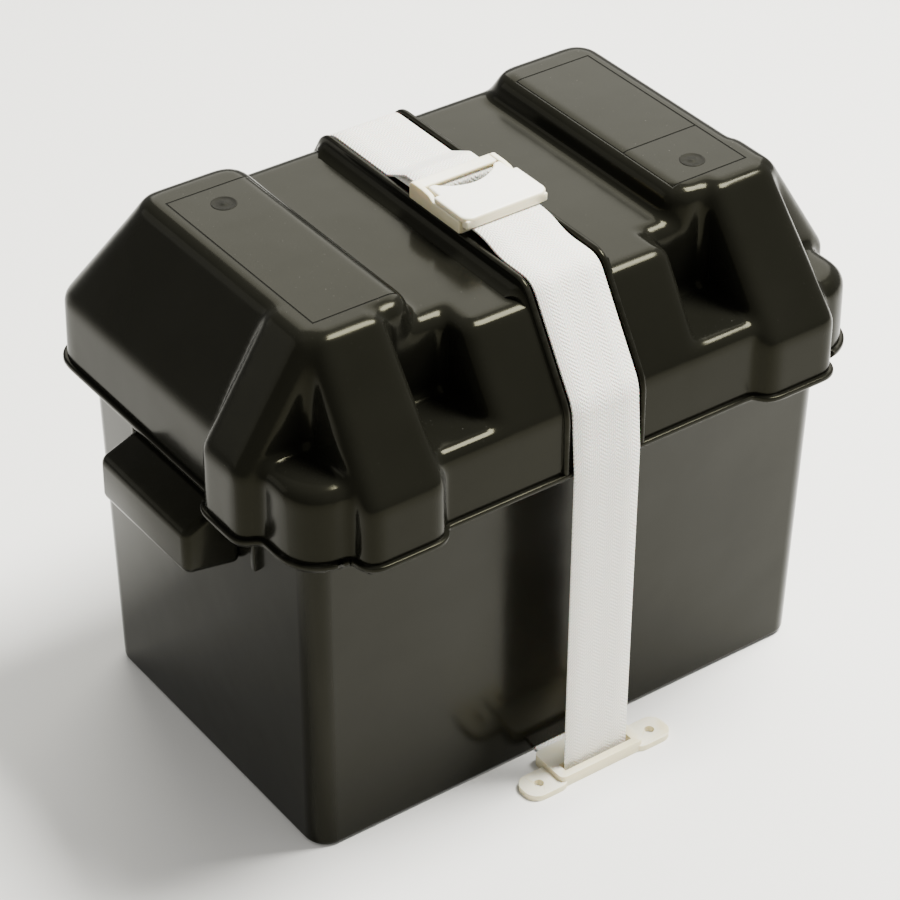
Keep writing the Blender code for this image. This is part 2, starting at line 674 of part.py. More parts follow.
def make_lever():
    """Cam lever: thumb plate, cam rib above the webbing, and arms back to the trunnions."""
    low = buckle_seat()
    pivot_z = low + PIVOT_RISE
    under = lever_underside()
    top = under + LEVER_THICK
    half = BUCKLE_WIDTH / 2
    outline = rounded_outline(-half, half, BUCKLE_FRONT, LEVER_BACK, LEVER_THICK, 4)
    thumb = plate("thumb", outline, under, top)
    arm_out = half - CHEEK_THICK - GAP
    arms = []
    for side in (1, -1):
        x = sorted((side * arm_out, side * (arm_out - ARM_THICK)))
        eye = circle(ARM_RADIUS, PIVOT_Y, pivot_z)
        root = [(LEVER_BACK - ARM_LAP, top - 2 * GAP), (LEVER_BACK - ARM_LAP, under)]
        points = [(x_at, y, z) for x_at in x for y, z in eye + root]
        arms.append(hull("arm", points))
    cam_low = run_height() + STRAP_THICK / 2 + GAP
    cam_half = arm_out - ARM_THICK / 2
    cam_high = under + LEVER_THICK / 3
    tip = LEVER_BACK - 5 * GAP
    cam = slab("cam", [(tip - CAM_TIP, cam_low), (tip, cam_low), (LEVER_BACK - GAP, cam_high),
                       (LEVER_BACK - CAM_ROOT, cam_high)], -cam_half, cam_half)
    trunnion = half - PIVOT_SKIN - GAP
    pins = [cylinder_x("pin", PIVOT_RADIUS, *sorted((side * (arm_out - ARM_THICK / 2), side * trunnion)),
                       PIVOT_Y, pivot_z) for side in (1, -1)]
    lever = join("buckle_lever", [thumb, *arms, cam, *pins])
    clean(lever)
    for vertex in lever.data.vertices:
        vertex.co -= Vector((0, PIVOT_Y, pivot_z))
    lever.location = (0, PIVOT_Y, pivot_z)
    return finish(lever, material("nylon_lever", WHITE, 0.32))


def make_bracket(name, side):
    """Hold-down foot: a slotted bar for the webbing between two screw lugs."""
    half = BRACKET_LENGTH / 2
    body_half = STRAP_HALF + BRACKET_SIDE

    def span(near, far):
        return sorted((side * near, side * far))

    body_y = span(BRACKET_INNER, BRACKET_OUTER - BRACKET_SET)
    body = plate("body", rounded_outline(-body_half, body_half, *body_y, BRACKET_CORNER, 3), 0,
                 BRACKET_THICK)
    lug_y = span(BRACKET_OUTER - LUG_DEPTH, BRACKET_OUTER)
    lugs = []
    for end in (1, -1):
        lug_x = sorted((end * half, end * (body_half - LUG_LAP)))
        lugs.append(plate("lug", rounded_outline(*lug_x, *lug_y, LUG_DEPTH * LUG_ROUND), 0,
                          BRACKET_FOOT))
    bracket = join(name, [body, *lugs])
    below = -BRACKET_THICK
    above = 2 * BRACKET_THICK
    slot_y = span(BRACKET_STATION - STRAP_OFF - STRAP_CLEAR,
                  BRACKET_OUTER - BRACKET_SET - BRACKET_BAR)
    slot = box("slot", (-STRAP_HALF, slot_y[0], below), (STRAP_HALF, slot_y[1], above))
    under_y = span(BRACKET_INNER - BRACKET_THICK, BRACKET_STATION)
    under = box("under", (-STRAP_HALF, under_y[0], below),
                (STRAP_HALF, under_y[1], STRAP_THICK + 3 * GAP))
    bores = []
    for end in (1, -1):
        ring = [(end * SCREW_SPREAD + y, side * (BRACKET_OUTER - LUG_DEPTH / 2) + z)
                for y, z in circle(SCREW_BORE / 2, 0, 0, 20)]
        bores.append(plate("bore", ring, below, above))
    boolean(bracket, [slot, under, *bores], "DIFFERENCE")
    return finish(clean(bracket), material(name + "_nylon", NYLON, 0.40))


def main():
    for thing in list(bpy.data.objects):
        bpy.data.objects.remove(thing)
    make_tub()
    make_lid()
    make_sling()
    make_front_run()
    make_rear_run()
    make_buckle_frame()
    make_lever()
    make_bracket("bracket_front", -1)
    make_bracket("bracket_back", 1)


main()
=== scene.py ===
import math

import bmesh
import bpy
from mathutils import Matrix, Vector


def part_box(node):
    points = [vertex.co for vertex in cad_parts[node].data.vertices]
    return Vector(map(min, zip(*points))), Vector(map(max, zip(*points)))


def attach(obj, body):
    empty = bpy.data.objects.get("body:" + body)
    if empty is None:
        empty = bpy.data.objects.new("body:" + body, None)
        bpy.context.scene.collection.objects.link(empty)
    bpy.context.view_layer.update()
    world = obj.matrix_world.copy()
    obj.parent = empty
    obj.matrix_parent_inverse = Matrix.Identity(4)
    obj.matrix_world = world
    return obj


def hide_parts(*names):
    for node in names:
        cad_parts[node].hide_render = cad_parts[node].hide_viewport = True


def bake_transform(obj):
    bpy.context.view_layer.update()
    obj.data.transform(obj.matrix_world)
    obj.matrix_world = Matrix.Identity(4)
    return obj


# Battery box with its strap: a glossy black tub and lid, white webbing, a cam buckle and two
# hold-down brackets. Everything is in metres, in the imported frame.
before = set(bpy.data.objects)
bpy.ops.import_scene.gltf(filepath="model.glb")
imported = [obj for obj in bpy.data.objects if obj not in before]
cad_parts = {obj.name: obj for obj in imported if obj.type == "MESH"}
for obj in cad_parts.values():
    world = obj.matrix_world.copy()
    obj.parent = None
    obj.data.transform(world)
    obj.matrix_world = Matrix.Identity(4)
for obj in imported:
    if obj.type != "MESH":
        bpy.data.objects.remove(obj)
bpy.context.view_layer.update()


# The camera stands high at the front left corner, far off with a long lens.
sight_turn = math.radians(-35.92)
sight_rise = math.radians(35.87)
sight_roll = math.radians(0.394)
sight_across = -0.0029
sight_above = 0.0976
sight_distance = 1.621
lens, film = 124.84, 36

away = Vector((math.sin(sight_turn) * math.cos(sight_rise),
               -math.cos(sight_turn) * math.cos(sight_rise), math.sin(sight_rise)))
level = Vector((math.cos(sight_turn), math.sin(sight_turn), 0))
upward = away.cross(level)
right = level * math.cos(sight_roll) + upward * math.sin(sight_roll)
up = upward * math.cos(sight_roll) - level * math.sin(sight_roll)
camera_data = bpy.data.cameras.new("camera")
camera_data.lens = lens
camera_data.sensor_width = film
camera = bpy.data.objects.new("camera", camera_data)
bpy.context.scene.collection.objects.link(camera)
turned = Matrix((right, up, away)).transposed().to_4x4()
place = right * sight_across + up * sight_above + away * sight_distance
camera.matrix_world = Matrix.Translation(place) @ turned
bpy.context.scene.camera = camera


# The studio: a pale floor, a large soft panel behind that the top faces mirror, a smaller
# overhead softbox for the bright lines on the rounded edges, and a dim panel far left.
floor_reach = 6
floor_color, floor_roughness = (0.85, 0.845, 0.82), 0.65
sky_color, sky_strength = (1.0, 0.99, 0.96), 0.62
lamp_aim = Vector((0, 0, 0.2))


def plain_material(name, color, roughness):
    made = bpy.data.materials.new(name)
    made.use_nodes = True
    shader = made.node_tree.nodes["Principled BSDF"]
    shader.inputs["Base Color"].default_value = (*color, 1)
    shader.inputs["Roughness"].default_value = roughness
    return made


floor_mesh = bpy.data.meshes.new("floor")
floor_mesh.from_pydata([(-floor_reach, -floor_reach, 0), (floor_reach, -floor_reach, 0),
                        (floor_reach, floor_reach, 0), (-floor_reach, floor_reach, 0)], [],
                       [(0, 1, 2, 3)])
floor_mesh.materials.append(plain_material("floor_paint", floor_color, floor_roughness))
floor = bpy.data.objects.new("floor", floor_mesh)
bpy.context.scene.collection.objects.link(floor)

world = bpy.data.worlds.new("studio")
world.use_nodes = True
sky = world.node_tree.nodes["Background"]
sky.inputs["Color"].default_value = (*sky_color, 1)
sky.inputs["Strength"].default_value = sky_strength
bpy.context.scene.world = world


def softbox(name, direction, distance, size, power, color=(1, 1, 1)):
    """Square lamp on a direction from the object's middle, turned to face it."""
    lamp = bpy.data.lights.new(name, "AREA")
    lamp.shape = "RECTANGLE"
    lamp.size, lamp.size_y = size
    lamp.energy = power
    lamp.color = color
    made = bpy.data.objects.new(name, lamp)
    bpy.context.scene.collection.objects.link(made)
    place = lamp_aim + Vector(direction).normalized() * distance
    made.matrix_world = (Matrix.Translation(place)
                         @ (place - lamp_aim).to_track_quat("Z", "Y").to_matrix().to_4x4())


softbox("back_panel", (0.475, 0.656, 0.586), 2.6, (2.2, 1.6), 52, (1, 0.985, 0.90))
softbox("overhead", (0.42, -0.12, 0.88), 1.9, (0.75, 0.75), 165, (1, 0.99, 0.94))
softbox("left_panel", (-0.70, 0.66, 0.30), 2.8, (1.8, 1.0), 6)


# The glossy black polypropylene of the tub and lid, with a warm olive cast. A moulding is never
# quite flat: it has faint sink marks, a fine grain, dull rubbed edges and a little settled dust.
# The rubbed edges are also lightened as a painted highlight.
deep_black, worn_black = (0.0042, 0.0042, 0.0030), (0.0068, 0.0067, 0.0050)
# The lighter edge colour: partly wear, partly a painted highlight.
rubbed_highlight_black, dust_color = (0.018, 0.0175, 0.015), (0.30, 0.29, 0.26)
black_gloss = 0.13
black_ior, black_specular, black_tint = 1.46, 0.085, (1.0, 0.96, 0.62)
sink_depth = 0.00025


def node_group(name, inputs, outputs):
    """Empty shader group with its sockets and their resting values."""
    group = bpy.data.node_groups.new(name, "ShaderNodeTree")
    for label, kind, value in inputs:
        socket = group.interface.new_socket(label, in_out="INPUT", socket_type=kind)
        if value is not None:
            socket.default_value = value
    for label, kind in outputs:
        group.interface.new_socket(label, in_out="OUTPUT", socket_type=kind)
    return group, group.nodes.new("NodeGroupInput"), group.nodes.new("NodeGroupOutput")


def add(tree, kind, links=None, **settings):
    """New node with its settings, and its inputs linked or set by name or number."""
    node = tree.nodes.new(kind)
    for key, value in settings.items():
        setattr(node, key, value)
    for key, value in (links or {}).items():
        socket = node.inputs[key]
        if isinstance(value, bpy.types.NodeSocket):
            tree.links.new(value, socket)
        else:
            socket.default_value = value
    return node


def noise(tree, place, scale, detail, **more):
    """Value of a noise texture at a place."""
    values = {"Vector": place, "Scale": scale, "Detail": detail, **more}
    return add(tree, "ShaderNodeTexNoise", values).outputs["Fac"]


def ramp(tree, value, low, high, start=0.0, end=1.0):
    """A value's run from low to high turned into one from start to end."""
    return add(tree, "ShaderNodeMapRange", {"Value": value, "From Min": low, "From Max": high,
                                            "To Min": start, "To Max": end}).outputs["Result"]


def sums(tree, operation, first, second=0.0):
    """Result of one maths step on two links or numbers."""
    node = add(tree, "ShaderNodeMath", {0: first, 1: second}, operation=operation)
    return node.outputs[0]


def mixed(tree, share, first, second):
    """Colour between two, each a colour or a link."""
    ends = [end if isinstance(end, bpy.types.NodeSocket) else (*end, 1) for end in (first, second)]
    return add(tree, "ShaderNodeMix", {0: share, 6: ends[0], 7: ends[1]},
               data_type="RGBA").outputs[2]


def moulded_skin():
    """Sink marks, fine grain, dust and rubbed edges of a moulded plastic shell; the lighter rubbed
    edges are partly a painted highlight.
    """
    group, given, result = node_group(
        "moulded_skin",
        [("Place", "NodeSocketVector", None), ("Sink Size", "NodeSocketFloat", 0.035),
         ("Grain Size", "NodeSocketFloat", 0.0006), ("Dust", "NodeSocketFloat", 0.2)],
        [("Height", "NodeSocketFloat"), ("Roughness", "NodeSocketFloat"),
         ("Dust Mask", "NodeSocketFloat"), ("Rub and Highlight Mask", "NodeSocketFloat")])
    place = given.outputs["Place"]
    sink_scale = sums(group, "DIVIDE", 1.0, given.outputs["Sink Size"])
    sink = noise(group, place, sink_scale, 2.0, Roughness=0.4)
    grain_scale = sums(group, "DIVIDE", 1.0, given.outputs["Grain Size"])
    grain_part = sums(group, "MULTIPLY", noise(group, place, grain_scale, 3.0), 0.012)
    group.links.new(sums(group, "ADD", sink, grain_part), result.inputs["Height"])

    smear = noise(group, place, 14.0, 5.0, Roughness=0.65)
    rough = ramp(group, smear, 0.35, 0.75, 0.0, 0.10)
    bend = add(group, "ShaderNodeNewGeometry").outputs["Pointiness"]
    edge = ramp(group, bend, 0.52, 0.60)
    worn = noise(group, place, 90.0, 4.0, Roughness=0.7)
    patchy = ramp(group, worn, 0.45, 0.65)
    # Convex edges in worn patches: rubbed wear, and also a painted highlight in the base colour.
    rub_and_highlight = sums(group, "MULTIPLY", edge, patchy)
    rub_rough = sums(group, "MULTIPLY", rub_and_highlight, 0.12)
    group.links.new(sums(group, "ADD", rough, rub_rough), result.inputs["Roughness"])
    group.links.new(rub_and_highlight, result.inputs["Rub and Highlight Mask"])

    speck = ramp(group, noise(group, place, 900.0, 2.0), 0.72, 0.84)
    facing = add(group, "ShaderNodeSeparateXYZ",
                 {0: add(group, "ShaderNodeNewGeometry").outputs["Normal"]}).outputs["Z"]
    dust = sums(group, "MULTIPLY", speck, ramp(group, facing, 0.5, 1.0))
    dust = sums(group, "MULTIPLY", dust, given.outputs["Dust"])
    group.links.new(dust, result.inputs["Dust Mask"])
    return group


skin_group = moulded_skin()


def black_plastic(name):
    """Own material with the shared moulded skin."""
    made = bpy.data.materials.new(name)
    made.use_nodes = True
    tree = made.node_tree
    shader = tree.nodes["Principled BSDF"]
    place = add(tree, "ShaderNodeTexCoord").outputs["Object"]
    skin = add(tree, "ShaderNodeGroup", {}, node_tree=skin_group)
    tree.links.new(place, skin.inputs["Place"])
    shade = mixed(tree, noise(tree, place, 22.0, 3.0), deep_black, worn_black)
    # Painted highlight: rubbed edges are lightened, on top of their real wear.
    rubbed_and_highlighted = mixed(tree, skin.outputs["Rub and Highlight Mask"], shade, rubbed_highlight_black)
    dusty = mixed(tree, skin.outputs["Dust Mask"], rubbed_and_highlighted, dust_color)
    tree.links.new(dusty, shader.inputs["Base Color"])
    rough = sums(tree, "ADD", skin.outputs["Roughness"], black_gloss)
    tree.links.new(rough, shader.inputs["Roughness"])
    bump = add(tree, "ShaderNodeBump", {"Height": skin.outputs["Height"], "Strength": 1.0,
                                        "Distance": sink_depth})
    tree.links.new(bump.outputs["Normal"], shader.inputs["Normal"])
    shader.inputs["IOR"].default_value = black_ior
    shader.inputs["Specular IOR Level"].default_value = black_specular
    shader.inputs["Specular Tint"].default_value = (*black_tint, 1)
    return made


# Tub: one injection moulding with leaning walls, round corners and an outward flange that the
# lid sits on. A shallow trough under it takes the webbing.
def cad_side(node, end, axis):
    """One side of a CAD node's box at rest, to a hundredth of a millimetre."""
    return round(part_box(node)[end][axis], 5)


tub_length, tub_width, tub_height = 0.296, 0.188, cad_side("tub", 1, 2)
tub_draft, tub_wall, tub_corner = 0.0175, 0.003, 0.012
foot_round, floor_round, foot_steps = 0.003, 0.004, 6
flange_thick, flange_end, flange_side, flange_corner = 0.003, 0.0028, 0.0044, 0.008
flange_root, flange_round, mouth_round = 0.0016, 0.0005, 0.0006
strap_half = cad_side("strap_sling", 1, 0)
trough_gap, trough_depth, trough_reach = 0.0015, 0.0026, 0.3
pad_wall, pad_reach, pad_low, pad_high = 0.003, 0.092, 0.0029, 0.0056


def from_bmesh(name, shape, smooth=True):
    """Object from a bmesh, its faces turned outward."""
    bmesh.ops.recalc_face_normals(shape, faces=shape.faces)
    mesh = bpy.data.meshes.new(name)
    shape.to_mesh(mesh)
    shape.free()
    if smooth:
        mesh.shade_smooth()
    made = bpy.data.objects.new(name, mesh)
    bpy.context.scene.collection.objects.link(made)
    return made


def lofted(name, rings, closed=False):
    """Skin over rings of equal count; capped at both ends, or joined end to end."""
    shape = bmesh.new()
    loops = [[shape.verts.new(point) for point in ring] for ring in rings]
    count = len(loops[0])
    pairs = list(zip(loops, loops[1:])) + ([(loops[-1], loops[0])] if closed else [])
    for lower, upper in pairs:
        for i in range(count):
            j = (i + 1) % count
            shape.faces.new((lower[i], lower[j], upper[j], upper[i]))
    if not closed:
        shape.faces.new(list(reversed(loops[0])))
        shape.faces.new(loops[-1])
    return from_bmesh(name, shape)


def rounded_outline(low_x, high_x, low_y, high_y, radius, steps=12):
    """Rounded rectangle as (x, y) points, anticlockwise."""
    centres = ((high_x - radius, high_y - radius, 0), (low_x + radius, high_y - radius, 90),
               (low_x + radius, low_y + radius, 180), (high_x - radius, low_y + radius, 270))
    points = []
    for x, y, start in centres:
        for step in range(steps + 1):
            angle = math.radians(start + 90 * step / steps)
            points.append((x + radius * math.cos(angle), y + radius * math.sin(angle)))
    return points


def hull(name, points):
    """Flat-sided convex solid round some points."""
    shape = bmesh.new()
    for point in points:
        shape.verts.new(point)
    bmesh.ops.convex_hull(shape, input=shape.verts)
    loose = [vert for vert in shape.verts if not vert.link_faces]
    bmesh.ops.delete(shape, geom=loose, context="VERTS")
    bmesh.ops.dissolve_limit(shape, angle_limit=0.001, verts=shape.verts, edges=shape.edges)
    return from_bmesh(name, shape, smooth=False)


def box(name, low, high):
    return hull(name, [(x, y, z) for x in (low[0], high[0]) for y in (low[1], high[1])
                       for z in (low[2], high[2])])


def evaluated(piece):
    """Applies a piece's modifiers to its mesh."""
    bpy.context.view_layer.update()
    graph = bpy.context.evaluated_depsgraph_get()
    mesh = bpy.data.meshes.new_from_object(piece.evaluated_get(graph))
    piece.modifiers.clear()
    piece.data = mesh
    return piece


def combine(piece, others, operation):
    """Boolean with closed solids, which are used up."""
    for other in others:
        step = piece.modifiers.new("combine", "BOOLEAN")
        step.operation = operation
        step.solver = "EXACT"
        step.object = other
    evaluated(piece)
    for other in others:
        bpy.data.objects.remove(other)
    return piece


def dress(piece, look, body, slot, *nodes):
    """Material, body and the CAD nodes that a piece stands for; the slot argument is not used."""
    piece.data.materials.clear()
    piece.data.materials.append(look)
    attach(piece, body)
    if nodes:
        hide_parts(*nodes)
    return piece


def tub_ring(height, grow, radius, end=0.0, side=0.0):
    """Outline of the leaning wall at a height, grown or shrunk."""
    half_x = tub_length / 2 + tub_draft * height + grow + end
    half_y = tub_width / 2 + tub_draft * height + grow + side
    return [(x, y, height) for x, y in rounded_outline(-half_x, half_x, -half_y, half_y, radius)]


def tub_rings():
    """From the middle of the underside, up outside, over the flange, and down inside."""
    rings = []
    turns = [math.radians(90 * step / foot_steps) for step in range(foot_steps + 1)]
    for angle in turns:
        sink = foot_round * (1 - math.sin(angle))
        rings.append(tub_ring(foot_round * (1 - math.cos(angle)), -sink, tub_corner - sink))
    low = tub_height - flange_thick
    for height, out in ((low - flange_root, 0.0), (low - flange_round, 0.1), (low, 0.3),
                        (low, 0.93), (low + flange_round, 1.0), (tub_height - flange_round, 1.0),
                        (tub_height, 0.93)):
        rings.append(tub_ring(height, 0, tub_corner + flange_corner * out, flange_end * out,
                              flange_side * out))
    inner = tub_corner - tub_wall
    rings.append(tub_ring(tub_height, -tub_wall + mouth_round, inner))
    rings.append(tub_ring(tub_height - mouth_round, -tub_wall, inner))
    for angle in reversed(turns):
        sink = floor_round * (1 - math.sin(angle))
        rings.append(tub_ring(tub_wall + floor_round * (1 - math.cos(angle)), -tub_wall - sink,
                              inner - sink))
    return rings


tub_black = black_plastic("tub_black")
tub = lofted("tub_shell", tub_rings())
trough_half = strap_half + trough_gap
pad_half = trough_half + pad_wall
trough = box("trough", (-trough_half, -trough_reach, -0.01),
             (trough_half, trough_reach, trough_depth))
pad = box("pad", (-pad_half, -pad_reach, pad_low), (pad_half, pad_reach, pad_high))
combine(tub, [trough], "DIFFERENCE")
combine(tub, [pad], "UNION")
tub.data.shade_smooth()
tub.data.set_sharp_from_angle(angle=math.radians(40))
dress(tub, tub_black, "tub", "black_plastic", "tub")


# End handles and ribs: moulded with the tub. Each handle is a hood that is open below, so that
# fingers go up behind its lip.
handle_half, handle_reach, handle_wall = 0.038, 0.029, 0.003
handle_top, handle_lip, handle_rise = 0.0108, 0.024, 0.0055
handle_root, hollow_root, hollow_drop = 0.0012, 0.0008, 0.01
hood_round, hood_edge = 0.0042, 0.0007
rim_height = cad_side("lid", 0, 2)
rib_place, rib_half, rib_edge = 0.052, 0.0018, 0.0006
rib_top, rib_foot = tub_height - 0.0015, 0.147
rib_proud, rib_foot_proud = 0.0035, 0.0025


def soften(piece, width, segments=3, angle=30):
    """Rounded edges, as a mould leaves them."""
    edge = piece.modifiers.new("edges", "BEVEL")
    edge.width = width
    edge.segments = segments
    edge.limit_method = "ANGLE"
    edge.angle_limit = math.radians(angle)
    evaluated(piece)
    piece.data.shade_smooth()
    piece.data.set_sharp_from_angle(angle=math.radians(50))
    return piece


def handle(side):
    """Hood with its hollow cut out of it from below."""
    wall_x = tub_length / 2 + tub_draft * rim_height
    lip_x = wall_x + handle_reach
    lip_top = rim_height - handle_top
    lip_low = lip_top - handle_lip

    def hood(name, thick, drop, half):
        inner = wall_x - (hollow_root if thick else handle_root)
        outline = [(inner, lip_low - handle_rise - drop), (lip_x - thick, lip_low - drop),
                   (lip_x - thick, lip_top - thick), (inner, rim_height + handle_root - thick)]
        return hull(name, [(side * x, y, z) for x, z in outline for y in (-half, half)])

    outer = soften(hood("hood", 0, 0, handle_half), hood_round, 5)
    hollow = hood("hollow", handle_wall, hollow_drop, handle_half - handle_wall)
    combine(outer, [hollow], "DIFFERENCE")
    return soften(outer, hood_edge, 2)


for side, label in ((1, "right"), (-1, "left")):
    hood = handle(side)
    hood.name = "handle_" + label
    dress(hood, tub_black, "tub", "black_plastic")
    for place, end in ((rib_place, "back"), (-rib_place, "front")):
        points = []
        for height, proud in ((rib_top, rib_proud), (rib_foot, rib_foot_proud)):
            wall_x = tub_length / 2 + tub_draft * height
            points += [(side * x, place + y, height) for x in (wall_x - 0.001, wall_x + proud)
                       for y in (-rib_half, rib_half)]
        rib = soften(hull("end_rib_" + label + "_" + end, points), rib_edge, 2)
        dress(rib, tub_black, "tub", "black_plastic")


# Lid: one moulding over the tub. Two raised end domes carry the slopes on up, with pillars down
# the front and the ends, cut-back front corners, and finger recesses beside the middle block.
crease, roof, dome_top = 0.217, 0.262, cad_side("lid", 1, 2)
shelf = 0.2218
skirt_end, skirt_back, skirt_front, lobe_front = 0.1605, 0.1102, 0.1136, 0.1085
roof_front, roof_back = 0.085, 0.084
dome_inner, dome_outer, dome_foot, dome_front = 0.0755, 0.131, 0.071, 0.073
lid_wall = 0.0020
skirt_flare = 0.012
lid_corner, roof_corner, lobe_corner = 0.0165, 0.014, 0.0205
dome_corner, dome_top_corner = 0.020, 0.012
lid_round, shelf_round, recess_back = 0.0080, 0.0065, 0.071
block_half, shelf_in, shelf_out, lobe_in = 0.060, 0.045, 0.12, 0.112
pillar_end, end_pillar_near, end_pillar_far = 0.1705, 0.036, 0.073
pillar_front, pillar_crease, pillar_in, pillar_out = 0.1215, 0.213, 0.091, 0.136
root_x, root_y, block_root, shelf_root = 0.10, 0.04, 0.03, 0.05     # ends inside other parts
lid_start = 0.160            # the form runs on below the rim and is trimmed there
lid_voxel, lid_eases = 0.0020, 5


def lid_ring(height, low_x, high_x, low_y, high_y, radius):
    """Rounded rectangle at a height."""
    outline = rounded_outline(low_x, high_x, low_y, high_y, radius, 8)
    return [(x, y, height) for x, y in outline]


def shrunk(points, amount):
    """Corners of a convex form whose faces have all moved inward."""
    shape = bmesh.new()
    for point in points:
        shape.verts.new(point)
    bmesh.ops.convex_hull(shape, input=shape.verts)
    loose = [vert for vert in shape.verts if not vert.link_faces]
    bmesh.ops.delete(shape, geom=loose, context="VERTS")
    bmesh.ops.recalc_face_normals(shape, faces=shape.faces)
    planes = {tuple(round(value, 4) for value in face.normal):
              (face.verts[0].co.copy(), face.normal.copy()) for face in shape.faces}
    shape.free()
    core = bmesh.new()
    bmesh.ops.create_cube(core, size=2)
    for place, normal in planes.values():
        cut = bmesh.ops.bisect_plane(core, geom=core.verts[:] + core.edges[:] + core.faces[:],
                                     dist=1e-8, plane_co=place - normal * amount,
                                     plane_no=normal, clear_outer=True)
        open_edges = [part for part in cut["geom_cut"] if isinstance(part, bmesh.types.BMEdge)]
        if open_edges:
            bmesh.ops.edgeloop_fill(core, edges=open_edges)
    corners = [vert.co.copy() for vert in core.verts]
    core.free()
    return corners


def rounded_hull(points, radius):
    """Convex form with every edge rounded: balls on the corners of the shrunk form, wrapped."""
    ball = bmesh.new()
    bmesh.ops.create_icosphere(ball, subdivisions=3, radius=radius)
    surface = [vert.co.copy() for vert in ball.verts]
    ball.free()
    return hull("part", [corner + point for corner in shrunk(points, radius)
                         for point in surface])


def lid_parts():
    """The lid's solid masses, each with rounded edges."""
    drop = skirt_flare * (crease - lid_start)
    rise = (roof - crease) / (dome_top - crease)
    roof_end = skirt_end + (dome_outer - skirt_end) * rise
    back_top = skirt_back + (roof_back - skirt_back) / rise
    parts = [rounded_hull(
        lid_ring(lid_start, -skirt_end - drop, skirt_end + drop, -recess_back,
                 skirt_back + drop, lid_corner)
        + lid_ring(crease, -skirt_end, skirt_end, -recess_back, skirt_back, lid_corner)
        + lid_ring(roof, -roof_end, roof_end, -recess_back, roof_back, roof_corner), lid_round)]
    block = [(x, y, z) for x in (-block_half, block_half) for y, z in (
        (-skirt_front - drop, lid_start), (-skirt_front, crease), (-roof_front, roof),
        (-block_root, roof), (-block_root, lid_start))]
    parts.append(rounded_hull(block, lid_round))
    lean = (dome_inner - dome_foot) / (dome_top - roof)
    for side in (1, -1):
        step = [(side * x, y, z) for x in (shelf_in, shelf_out) for y, z in (
            (-skirt_front - drop, lid_start), (-skirt_front, shelf), (-shelf_root, shelf),
            (-shelf_root, lid_start))]
        dome = []
        for height, out, back, radius in (
                (lid_start, skirt_end + drop, skirt_back + drop, dome_corner),
                (crease, skirt_end, skirt_back, dome_corner),
                (dome_top, dome_outer, back_top, dome_top_corner)):
            inner = dome_foot + lean * (height - roof)
            dome += lid_ring(height, *sorted((side * inner, side * out)), -recess_back, back,
                             radius)
        end = [(side * x, y, z) for y in (-end_pillar_near, -end_pillar_far) for x, z in (
            (pillar_end + drop, lid_start), (pillar_end, crease), (dome_outer + 0.002, dome_top),
            (root_x, dome_top), (root_x, lid_start))]
        front = [(side * x, y, z) for x in (pillar_in, pillar_out) for y, z in (
            (-pillar_front - drop, lid_start), (-pillar_front, pillar_crease),
            (-root_y, lid_start))]
        front += [(side * x, y, dome_top) for x in (pillar_in, dome_outer)
                  for y in (-dome_front, -root_y)]
        lobe = []
        for height, grow in ((lid_start, drop), (shelf, 0)):
            x = sorted((side * lobe_in, side * (skirt_end + grow)))
            lobe += lid_ring(height, *x, -lobe_front - grow, -shelf_root, lobe_corner)
        parts += [rounded_hull(form, lid_round) for form in (dome, end, front, lobe)]
        parts.append(rounded_hull(step, shelf_round))
    return parts


def gathered(parts):
    """One object of many closed parts."""
    shape = bmesh.new()
    for part in parts:
        shape.from_mesh(part.data)
        bpy.data.objects.remove(part)
    return from_bmesh("lid_shell", shape)


def round_off(piece, voxel, rounds):
    """Even small faces all over, then every edge eased, as polished mould steel leaves them."""
    grid = piece.modifiers.new("grid", "REMESH")
    grid.mode = "VOXEL"
    grid.voxel_size = voxel
    ease = piece.modifiers.new("ease", "SMOOTH")
    ease.factor = 0.5
    ease.iterations = rounds
    return evaluated(piece)


def trim_below(piece, height):
    """Cuts a piece off at a height and leaves it open there."""
    shape = bmesh.new()
    shape.from_mesh(piece.data)
    everything = shape.verts[:] + shape.edges[:] + shape.faces[:]
    bmesh.ops.bisect_plane(shape, geom=everything, plane_co=(0, 0, height), plane_no=(0, 0, -1),
                           clear_outer=True)
    shape.to_mesh(piece.data)
    shape.free()
    return piece


lid = round_off(gathered(lid_parts()), lid_voxel, lid_eases)
trim_below(lid, rim_height)


def open_edge(piece):
    """Points round the piece's open edge, in order."""
    shape = bmesh.new()
    shape.from_mesh(piece.data)
    ahead = {}
    for edge in shape.edges:
        if edge.is_boundary:
            loop = edge.link_loops[0]
            ahead[loop.vert.index] = loop.link_loop_next.vert.index
    shape.verts.ensure_lookup_table()
    start = next(iter(ahead))
    order = [start]
    while ahead[order[-1]] != start:
        order.append(ahead[order[-1]])
    points = [shape.verts[i].co.copy() for i in order]
    shape.free()
    return points


skirt_foot = open_edge(lid)
wall = lid.modifiers.new("wall", "SOLIDIFY")
wall.thickness = lid_wall
wall.offset = -1
evaluated(lid)
lid.data.shade_smooth()


